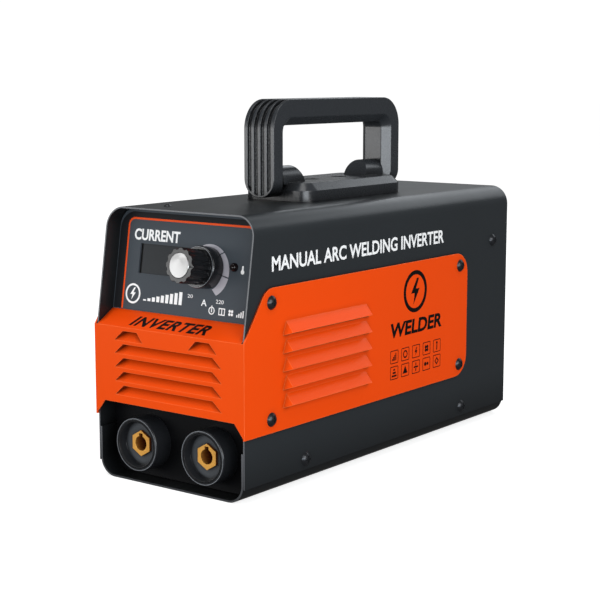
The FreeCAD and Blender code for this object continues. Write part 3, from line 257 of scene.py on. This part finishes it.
def spun_metal(name):
    """Lathe-turned aluminium whose gloss runs round the centre."""
    material = surface(name, (0.3, 0.3, 0.3), 0.3, metallic=1.0, vary=0.03, grain=900, bump=0.002)
    tree = material.node_tree
    shader = tree.nodes["Principled BSDF"]
    shader.inputs["Anisotropic"].default_value = 0.85
    tangent = tree.nodes.new("ShaderNodeTangent")
    tangent.direction_type = "RADIAL"
    tangent.axis = "Z"
    tree.links.new(tangent.outputs["Tangent"], shader.inputs["Tangent"])
    return material


# finishes given a corner reach below darken their corners, grooves and recesses with painted shade
FINISH = {
    "case_paint": surface("case_paint", (0.021, 0.0245, 0.0275), 0.32, vary=0.05, grain=1300, bump=0.010,
                          # the pale colour on the case's forward-facing edges is a painted highlight
                          specular=0.4, painted_shade_reach=35, painted_edge_highlight=(0.11, 0.115, 0.125)),
    "nose_paint": surface("nose_paint", (0.79, 0.062, 0.002), 0.36, vary=0.02, grain=1300, bump=0.008,
                          specular=0.2, tint=(0.45, 0.95, 0.35), rounding=0.5, painted_shade_reach=4.5,
                          # the pale line along the nose's sharp bend lines is a painted highlight
                          painted_shade_color=(0.05, 0.004, 0.001), painted_bend_highlight=(1.0, 0.22, 0.07)),
    # the panel below 47 mm is near black: painted shade under the nose, over the socket bay
    "panel_paint": surface("panel_paint", (0.055, 0.066, 0.078), 0.45, vary=0.04, grain=1500,
                           bump=0.008, specular=0.1, painted_shade_below=(47.0, (0.003, 0.0032, 0.004))),
    "handle_plastic": surface("handle_plastic", (0.026, 0.029, 0.033), 0.27, vary=0.05, grain=2200,
                              bump=0.006, specular=0.6, painted_shade_reach=14),
    "black_steel": surface("black_steel", (0.03, 0.032, 0.036), 0.3, metallic=0.6, grain=1200,
                           bump=0.004),
    "zinc_steel": surface("zinc_steel", (0.55, 0.56, 0.56), 0.32, metallic=1.0, grain=900, bump=0.006),
    "window_tint": surface("window_tint", (0.02, 0.0235, 0.027), 0.3, vary=0.1, grain=300,
                           bump=0.0005, specular=0.1),
    "display_black": surface("display_black", (0.01, 0.01, 0.011), 0.25, grain=800, bump=0.002),
    "board_green": surface("board_green", (0.012, 0.11, 0.045), 0.4, grain=800, bump=0.006),
    "pot_body": surface("pot_body", (0.03, 0.03, 0.034), 0.5, grain=900, bump=0.006),
    "knob_black": surface("knob_black", (0.006, 0.0065, 0.0075), 0.24, vary=0.1, rough_vary=0.04,
                          grain=1400, bump=0.001, rounding=0.3),
    "knob_silver": spun_metal("knob_silver"),
    "lamp_lens": surface("lamp_lens", (0.006, 0.003, 0.003), 0.15, grain=500, bump=0.0003),
    "socket_plastic": surface("socket_plastic", (0.012, 0.013, 0.015), 0.3, vary=0.06, grain=1500,
                              bump=0.006),
    "socket_grey": surface("socket_grey", (0.062, 0.068, 0.076), 0.45, grain=1500, bump=0.006,
                           specular=0.3, painted_shade_reach=3),
    # pale grey for painted highlights on the rims of the socket rings and the knob's skirt
    "rim_painted_highlight": surface("rim_painted_highlight", (0.16, 0.17, 0.185), 0.3, grain=1500, bump=0.004),
    "brass": surface("brass", (1.0, 0.5, 0.1), 0.3, metallic=0.35, vary=0.03, grain=700, bump=0.003,
                     painted_shade_reach=14, painted_shade_color=(0.13, 0.014, 0.001)),
    "copper": surface("copper", (0.7, 0.27, 0.12), 0.3, metallic=1.0, grain=700, bump=0.004),
    "aluminium": surface("aluminium", (0.7, 0.71, 0.72), 0.35, metallic=1.0, grain=900, bump=0.006,
                         stretch=(1, 0.02, 1)),
    "package_black": surface("package_black", (0.018, 0.018, 0.02), 0.5, grain=1500, bump=0.008),
    "capacitor_sleeve": surface("capacitor_sleeve", (0.012, 0.02, 0.09), 0.25, grain=600, bump=0.003),
    "ferrite": surface("ferrite", (0.04, 0.04, 0.043), 0.6, grain=1100, bump=0.02),
    "winding": surface("winding", (0.45, 0.13, 0.04), 0.3, metallic=0.7, grain=260, bump=0.12,
                       stretch=(0.05, 0.05, 4)),
    "relay_case": surface("relay_case", (0.01, 0.05, 0.22), 0.35, grain=900, bump=0.004),
    "fan_plastic": surface("fan_plastic", (0.012, 0.0125, 0.014), 0.42, grain=1300, bump=0.01),
    "guard_wire": surface("guard_wire", (0.6, 0.6, 0.61), 0.2, metallic=1.0, grain=900, bump=0.003),
    "switch_plastic": surface("switch_plastic", (0.009, 0.009, 0.01), 0.25, grain=1200, bump=0.004),
    "rocker_red": surface("rocker_red", (0.38, 0.012, 0.01), 0.2, grain=900, bump=0.003),
    "gland_plastic": surface("gland_plastic", (0.014, 0.0145, 0.016), 0.45, grain=1300, bump=0.012),
    "print_white": surface("print_white", (0.86, 0.87, 0.87), 0.5, vary=0.02, grain=1800, bump=0.004),
    # black for printed marks, and for the painted shade round the display window
    "print_black": surface("print_black", (0.004, 0.004, 0.004), 0.5, vary=0.05, grain=1800, bump=0.004,
                           specular=0.15),
    # near black used as painted shade on the panel's margin
    "painted_shade_dark": surface("painted_shade_dark", (0.012, 0.013, 0.015), 0.5, grain=1800, bump=0.004,
                          specular=0.1),
    "print_orange": surface("print_orange", (0.8, 0.075, 0.006), 0.45, vary=0.02, grain=1800, bump=0.004,
                            specular=0.12),
    "print_grey": surface("print_grey", (0.38, 0.37, 0.41), 0.5, vary=0.03, grain=1800, bump=0.004),
}


# ---- pieces ----
def add_piece(name, mesh, finish, body):
    piece = bpy.data.objects.new(name, mesh)
    bpy.context.scene.collection.objects.link(piece)
    mesh.materials.clear()
    mesh.materials.append(FINISH[finish])
    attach(piece, body)
    return piece


def baked(piece):
    """Applies a piece's modifiers to its mesh."""
    bpy.context.view_layer.update()
    graph = bpy.context.evaluated_depsgraph_get()
    mesh = bpy.data.meshes.new_from_object(piece.evaluated_get(graph), depsgraph=graph)
    piece.modifiers.clear()
    piece.data = mesh
    return piece


def softened(node, width):
    """A copy of a CAD node with its sharp edges rounded, which stands for the node."""
    mesh = NODES[node].data.copy()
    shape = bmesh.new()
    shape.from_mesh(mesh)
    bmesh.ops.remove_doubles(shape, verts=shape.verts, dist=2e-6)
    bmesh.ops.dissolve_limit(shape, angle_limit=math.radians(0.6), verts=shape.verts,
                             edges=shape.edges, use_dissolve_boundaries=False)
    shape.to_mesh(mesh)
    shape.free()
    mesh.shade_smooth()
    slot = SLOT_OF[node]
    piece = add_piece(node + "_finished", mesh, slot, BODY_OF[node])
    bevel = piece.modifiers.new("edges", "BEVEL")
    bevel.width = width * MM
    bevel.segments = 3
    bevel.limit_method = "ANGLE"
    bevel.angle_limit = math.radians(28.0)
    bevel.use_clamp_overlap = True
    bevel.miter_outer = "MITER_ARC"
    normals = piece.modifiers.new("normals", "WEIGHTED_NORMAL")
    normals.keep_sharp = True
    normals.weight = 60
    baked(piece)
    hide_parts(node)


def flat_mesh(curve, thick, place, span=None):
    """Turns a flat curve into a thin raised print. span is (x0, x1, y0, y1) in mm to fit it into."""
    holder = bpy.data.objects.new("holder", curve)
    bpy.context.scene.collection.objects.link(holder)
    bpy.context.view_layer.update()
    graph = bpy.context.evaluated_depsgraph_get()
    mesh = bpy.data.meshes.new_from_object(holder.evaluated_get(graph), depsgraph=graph)
    bpy.data.objects.remove(holder)
    bpy.data.curves.remove(curve)
    if span:
        xs = [v.co.x for v in mesh.vertices]
        ys = [v.co.y for v in mesh.vertices]
        x0, x1, y0, y1 = [s * MM for s in span]
        sx = (x1 - x0) / (max(xs) - min(xs))
        sy = (y1 - y0) / (max(ys) - min(ys))
        for v in mesh.vertices:
            v.co.x = x0 + (v.co.x - min(xs)) * sx
            v.co.y = y0 + (v.co.y - min(ys)) * sy
    for v in mesh.vertices:
        v.co.z = thick * MM if v.co.z > 0 else 0.0
    mesh.transform(place)
    return mesh


def lettering(name, text, span, place, finish, bold=0.0, shear=0.0, spacing=1.0):
    curve = bpy.data.curves.new(name, "FONT")
    curve.body = text
    curve.size = 1.0
    curve.offset = bold
    curve.shear = shear
    curve.space_character = spacing
    curve.extrude = 0.01
    curve.resolution_u = 4
    return add_piece(name, flat_mesh(curve, PRINT, place, span), finish, "case")


def artwork(name, loops, place, finish, body="case"):
    """Flat printed shapes, also used for painted shade and painted highlights. Each loop is a list of (x, y) in
    mm; a loop inside another is a hole.
    """
    curve = bpy.data.curves.new(name, "CURVE")
    curve.dimensions = "2D"
    curve.fill_mode = "BOTH"
    curve.extrude = 0.01 * MM
    for loop in loops:
        spline = curve.splines.new("POLY")
        spline.points.add(len(loop) - 1)
        for point, (x, y) in zip(spline.points, loop):
            point.co = (x * MM, y * MM, 0, 1)
        spline.use_cyclic_u = True
    return add_piece(name, flat_mesh(curve, PRINT, place), finish, body)


def circle(x, y, r, count=48, start=0.0, sweep=360.0):
    steps = count if sweep >= 360 else count + 1
    return [(x + r * math.cos(math.radians(start + sweep * i / count)),
             y + r * math.sin(math.radians(start + sweep * i / count))) for i in range(steps)]


def bar(x0, x1, y0, y1):
    return [(x0, y0), (x1, y0), (x1, y1), (x0, y1)]


def moved(loop, x, y, scale):
    return [(x + a * scale, y + b * scale) for a, b in loop]


def round_bar(x0, x1, y0, y1, r):
    corners = [(x1 - r, y1 - r, 0), (x0 + r, y1 - r, 90), (x0 + r, y0 + r, 180), (x1 - r, y0 + r, 270)]
    return [p for cx, cy, a in corners for p in circle(cx, cy, r, 6, a, 90)]


# ---- graphics ----
BOLT = [(0.12, 0.62), (-0.36, -0.08), (-0.06, -0.08), (-0.16, -0.62), (0.36, 0.12), (0.05, 0.12),
        (0.3, 0.62)]


def bolt_ring(x, y, r):
    """A generic mark: a ring round a lightning bolt."""
    return [circle(x, y, r), circle(x, y, r * 0.8), moved(BOLT, x, y, r)]


def level_bars(x0, x1, y0, y1, count):
    pitch = (x1 - x0) / count
    return [bar(x0 + i * pitch, x0 + (i + 0.68) * pitch, y0, y0 + (y1 - y0) * (i + 1) / count)
            for i in range(count)]


def arch_out(half, top, corner, count):
    """Points along an arch with rounded shoulders, from its left foot to its right foot."""
    return ([(-half, BORDER_FOOT)] + circle(-half + corner, top - corner, corner, count, 180, -90)
            + circle(half - corner, top - corner, corner, count, 90, -90) + [(half, BORDER_FOOT)])


def arch_back(inset):
    """Points back along the panel line's arch, set in from its outer edge by inset mm."""
    half, top, corner = BORDER
    radius = corner - inset
    return ([(half - inset, BORDER_FOOT)] + circle(half - corner, top - corner, radius, 8, 0, 90)
            + circle(-half + corner, top - corner, radius, 8, 90, 90) + [(-half + inset, BORDER_FOOT)])


def panel_graphics():
    artwork("panel_border", [arch_out(*BORDER, 8) + arch_back(1.3)], PANEL, "print_orange")
    lettering("panel_heading", "CURRENT", (-43.6, -7.0, 42.2, 49.1), PANEL, "print_white",
              bold=0.03)
    artwork("panel_mark", bolt_ring(-40.7, 9.7, 6.1), PANEL, "print_white")
    artwork("panel_levels", level_bars(-32.0, 0.0, 6.2, 13.8, 9), PANEL, "print_white")
    lettering("dial_low", "20", (3.0, 7.0, 11.2, 13.2), PANEL, "print_white")
    lettering("dial_high", "220", (25.0, 30.8, 9.7, 11.9), PANEL, "print_white")
    lettering("dial_unit", "A", (13.9, 18.2, 7.4, 11.2), PANEL, "print_white",
              bold=0.01)
    arc_loops = []
    for start, end in ((112, 49.0), (46.0, -9.5), (-12.5, -62.0)):
        outer = circle(17.2, 27.9, 15.6, 16, start, end - start)
        inner = circle(15.3, 28.4, 12.4, 16, end, start - end)
        arc_loops.append(outer + inner)
    artwork("dial_arc", arc_loops, PANEL, "print_grey")
    artwork("heat_symbol", [circle(42.6, 29.2, 1.3, 20, 120, 300) + [(43.2, 30.4), (43.2, 32.2)]
                            + circle(42.6, 32.2, 0.6, 8, 0, 180) + [(42.0, 30.4)]],
            PANEL, "print_white")
    small_symbols()


def small_symbols():
    """Four plain pictograms under the dial."""
    ring = [circle(22.3, 5.3, 2.3, 24), circle(22.3, 5.3, 1.7, 24), bar(21.9, 22.7, 4.4, 8.2)]
    book = [bar(27.6, 32.4, 3.2, 7.4), bar(28.2, 29.7, 3.8, 6.8), bar(30.3, 31.8, 3.8, 6.8)]
    fan = [circle(36.8 + 1.3 * math.cos(a), 5.3 + 1.3 * math.sin(a), 0.85, 12)
           for a in (math.radians(45 + 90 * i) for i in range(4))]
    bars = [bar(41.0 + 1.5 * i, 41.9 + 1.5 * i, 3.2, 4.6 + 0.9 * i) for i in range(4)]
    artwork("panel_symbols", ring + book + fan + bars, PANEL, "print_white")


def pictogram(index, x, y):
    """One of the plain pictograms on the side: a rounded frame with a simple sign in it."""
    frame_loops = [round_bar(x - 4.6, x + 4.6, y - 4.3, y + 4.3, 0.9),
                   round_bar(x - 4.1, x + 4.1, y - 3.8, y + 3.8, 0.6)]
    signs = [
        level_bars(x - 2.6, x + 2.6, y - 2.4, y + 2.6, 4),
        [circle(x, y, 2.6, 24), circle(x, y, 1.7, 24)],
        [moved(BOLT, x, y, 4.4)],
        [circle(x + 1.5 * math.cos(a), y + 1.5 * math.sin(a), 1.1, 14)
         for a in (math.radians(45 + 90 * i) for i in range(4))],
        [bar(x - 0.5, x + 0.5, y - 2.8, y + 1.0), circle(x, y + 2.0, 0.9, 14)],
        [bar(x - 2.8, x + 2.8, y - 2.6, y - 1.4), bar(x - 1.8, x + 1.8, y - 0.6, y + 0.6),
         bar(x - 0.8, x + 0.8, y + 1.4, y + 2.6)],
        [[(x - 2.8, y - 2.2), (x + 2.8, y - 2.2), (x, y + 2.8)]],
        [bar(x - 2.6, x + 2.6, y - 0.5, y + 0.5), bar(x - 0.5, x + 0.5, y + 0.9, y + 2.8),
         bar(x - 0.5, x + 0.5, y - 2.8, y - 0.9)],
        [circle(x - 1.3, y, 1.4, 16), circle(x + 1.5, y, 1.1, 16)],
        [[(x - 2.6, y), (x, y + 2.6), (x + 2.6, y), (x, y - 2.6)],
         [(x - 1.4, y), (x, y + 1.4), (x + 1.4, y), (x, y - 1.4)]],
    ]
    return frame_loops + signs[index]


def side_graphics(side, place, flip):
    """Graphics on one side; y runs from the nose back, and flip turns it for the left side."""
    def run(y0, y1):
        return (-y1, -y0) if flip else (y0, y1)
    lift = place @ Matrix.Translation((0, 0, NOSE_SHEET * MM))
    lettering("title_" + side, "MANUAL ARC WELDING INVERTER", (*run(26.5, 210.5), 131.4, 140.2), place,
              "print_white", bold=0.022)
    middle = sum(run(161.4, 188.4)) / 2
    artwork("mark_" + side, bolt_ring(middle, 103.0, 13.8), lift, "print_black")
    lettering("word_" + side, "WELDER", (*run(146.5, 207.5), 75.5, 85.0), lift, "print_black",
              bold=0.035, shear=0.12)
    first, last = run(151.0, 202.0)
    loops = []
    for i in range(10):
        loops += pictogram(i, first + (last - first) * (i % 5) / 4, 63.2 - 10.4 * (i // 5))
    artwork("pictograms_" + side, loops, lift, "print_black")


def nose_graphics():
    foot = spot(0, 0, NOSE_TOP)
    up = Vector((0, *NOSE_SLOPE))
    lettering("nose_word", "INVERTER", (-32.5, 28.0, 2.6, 11.2), basis(foot, Vector((1, 0, 0)), up),
              "print_black", bold=0.035, shear=0.35, spacing=1.1)


def window_painted_shade():
    """Painted shade: a black edge round the display window, on the window's own face, standing for the shade of
    its recess.
    """
    away = PANEL.inverted()
    points = [away @ Vector(v.co) for v in NODES[WINDOW].data.vertices]
    x0, x1 = min(p.x for p in points) / MM, max(p.x for p in points) / MM
    y0, y1 = min(p.y for p in points) / MM, max(p.y for p in points) / MM
    face = max(p.z for p in points)
    loops = [bar(x0, x1, y0, y1), bar(x0 + 4.4, x1 - 1.6, y0 + 2.0, y1 - 1.9)]
    artwork("window_painted_shade", loops, PANEL @ Matrix.Translation((0, 0, face)), "print_black")


def painted_margin_shade():
    """Painted shade: the darker margin of the control panel outside the orange line."""
    away = PANEL.inverted()
    points = [away @ Vector(v.co) for v in NODES["front_panel"].data.vertices]
    half = max(p.x for p in points) / MM - 0.6
    top = max(p.y for p in points if abs(p.z) < 0.5 * MM) / MM - 2.4
    artwork("painted_margin_shade", [arch_out(half, top, 11.0, 10) + arch_back(0.1)], PANEL, "painted_shade_dark")


def socket_trim():
    """Grey moulded floors round the sockets' brass hexagons, and painted highlights along the rims of the rings.
    """
    for side in ("left", "right"):
        low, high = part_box("socket_housing_" + side)
        x, z = (low.x + high.x) / 2, (low.z + high.z) / 2
        front = basis(Vector((x, low.y, z)), Vector((1, 0, 0)), Vector((0, 0, 1)))
        floor = front @ Matrix.Translation((0, 0, -SOCKET_DEPTH * MM))
        inset = front @ Matrix.Translation((0, 0, -PRINT * MM))
        artwork("socket_floor_" + side, [circle(0, 0, 12.9), circle(0, 0, 6.6, 6)], floor,
                "socket_grey")
        # painted highlights: two pale rings along the outer and inner rim of each socket ring
        artwork("rim_painted_highlight_" + side, [circle(0, 0, 15.95), circle(0, 0, 15.55),
                                       circle(0, 0, 14.6), circle(0, 0, 14.25)], inset,
                "rim_painted_highlight")


def knob_painted_highlight_ring():
    """Painted highlight: a pale ring on the front of the knob's skirt."""
    place = PANEL @ Matrix.Translation(Vector((*KNOB_AT, SKIRT_FRONT)) * MM)
    # painted highlight on the skirt's front edge
    artwork("knob_painted_highlight_ring", [circle(0, 0, 11.9, 64), circle(0, 0, 11.55, 64)], place, "rim_painted_highlight",
            "knob")


# ---- the object ----
def finish_nodes():
    for node, thing in NODES.items():
        thing.data.materials.clear()
        thing.data.materials.append(FINISH[SLOT_OF[node]])
    for node, width in (("cover", 0.3), ("bottom_tray", 0.3), ("front_panel", 0.3),
                        ("rear_panel", 0.3), ("handle_loop", 0.9), ("handle_base", 0.3),
                        ("knob", 0.25), ("socket_insert_left", 0.2), ("socket_insert_right", 0.2),
                        ("socket_housing_left", 0.35), ("socket_housing_right", 0.35),
                        ("power_switch", 0.3), ("switch_rocker", 0.5), ("gland_body", 0.4),
                        ("gland_dome_nut", 0.6), ("fan_frame", 0.3)):
        softened(node, width)


def camera():
    lens = bpy.data.cameras.new("camera")
    lens.lens = LENS
    lens.sensor_width = 36.0
    eye = bpy.data.objects.new("camera", lens)
    bpy.context.scene.collection.objects.link(eye)
    eye.location = spot(*EYE)
    eye.rotation_euler = (math.radians(EYE_TILT), 0, math.radians(EYE_TURN))
    bpy.context.scene.camera = eye


def soft_light(name, place, target, width, height, power, color=(1, 1, 1)):
    lamp = bpy.data.lights.new(name, "AREA")
    lamp.shape = "RECTANGLE"
    lamp.size = width
    lamp.size_y = height
    lamp.energy = power
    lamp.color = color
    holder = bpy.data.objects.new(name, lamp)
    bpy.context.scene.collection.objects.link(holder)
    holder.location = place
    holder.rotation_euler = (Vector(target) - Vector(place)).to_track_quat("-Z", "Y").to_euler()


def floor_finish():
    """White paper that shows white to the camera and throws little light up."""
    n = Nodes("floor")
    n.tree.nodes.remove(n.shader)
    out = n.tree.nodes["Material Output"]
    path = n.add("ShaderNodeLightPath")
    glow = n.add("ShaderNodeEmission", Strength=0.72)
    paper = n.add("ShaderNodeBsdfDiffuse", Color=(0.55, 0.55, 0.55, 1))
    dull = n.add("ShaderNodeBsdfDiffuse", Color=(0.22, 0.22, 0.22, 1))
    both = n.add("ShaderNodeAddShader")
    pick = n.add("ShaderNodeMixShader")
    n.link(glow.outputs[0], both.inputs[0])
    n.link(paper.outputs[0], both.inputs[1])
    n.link(path.outputs["Is Camera Ray"], pick.inputs["Fac"])
    n.link(dull.outputs[0], pick.inputs[1])
    n.link(both.outputs[0], pick.inputs[2])
    n.link(pick.outputs[0], out.inputs["Surface"])
    return n.material


def backdrop():
    """White to the camera, soft fill on matt surfaces, nearly dark in reflections."""
    world = bpy.data.worlds.new("studio")
    bpy.context.scene.world = world
    world.use_nodes = True
    tree = world.node_tree
    back = tree.nodes["Background"]
    back.inputs["Color"].default_value = (1, 1, 1, 1)
    path = tree.nodes.new("ShaderNodeLightPath")
    matt = tree.nodes.new("ShaderNodeMapRange")
    matt.inputs["To Min"].default_value = FILL
    matt.inputs["To Max"].default_value = DARK
    seen = tree.nodes.new("ShaderNodeMix")
    seen.inputs["B"].default_value = 1.05
    tree.links.new(path.outputs["Is Glossy Ray"], matt.inputs["Value"])
    tree.links.new(matt.outputs["Result"], seen.inputs["A"])
    tree.links.new(path.outputs["Is Camera Ray"], seen.inputs["Factor"])
    tree.links.new(seen.outputs["Result"], back.inputs["Strength"])


def studio():
    half = FLOOR_HALF
    corners = [(-half, -half, 0), (half, -half, 0), (half, half, 0), (-half, half, 0)]
    floor_mesh = bpy.data.meshes.new("floor")
    floor_mesh.from_pydata(corners, [], [(0, 1, 2, 3)])
    floor = bpy.data.objects.new("floor", floor_mesh)
    bpy.context.scene.collection.objects.link(floor)
    floor.location.z = -FLOOR_DROP
    floor.visible_glossy = False
    floor_mesh.materials.append(floor_finish())
    backdrop()
    middle = (0, 0, 0.1)
    soft_light("rear_high", (-0.1, 1.35, 0.92), middle, 1.9, 0.5, 5.2, (0.9, 0.95, 1.0))
    soft_light("rear_low", (-0.9, 1.5, 0.4), middle, 1.6, 0.5, 0.35, (0.93, 0.97, 1.0))
    soft_light("front_low", (-0.45, -1.35, 0.17), middle, 1.9, 0.3, 8)
    soft_light("front_right", (1.05, -0.82, 0.17), middle, 0.8, 0.3, 7, (0.88, 0.94, 1.0))
    soft_light("front_left", (-1.05, -1.35, 0.6), middle, 0.7, 0.5, 1.5)
    soft_light("side", (1.5, -0.5, 0.75), middle, 0.9, 0.9, 12)
    soft_light("top", (-0.2, -0.2, 1.8), middle, 1.0, 1.0, 8)


finish_nodes()
painted_margin_shade()
panel_graphics()
window_painted_shade()
socket_trim()
knob_painted_highlight_ring()
nose_graphics()
side_graphics("right", RIGHT, False)
side_graphics("left", LEFT, True)
camera()
studio()
bpy.context.scene.view_settings.view_transform = "Standard"
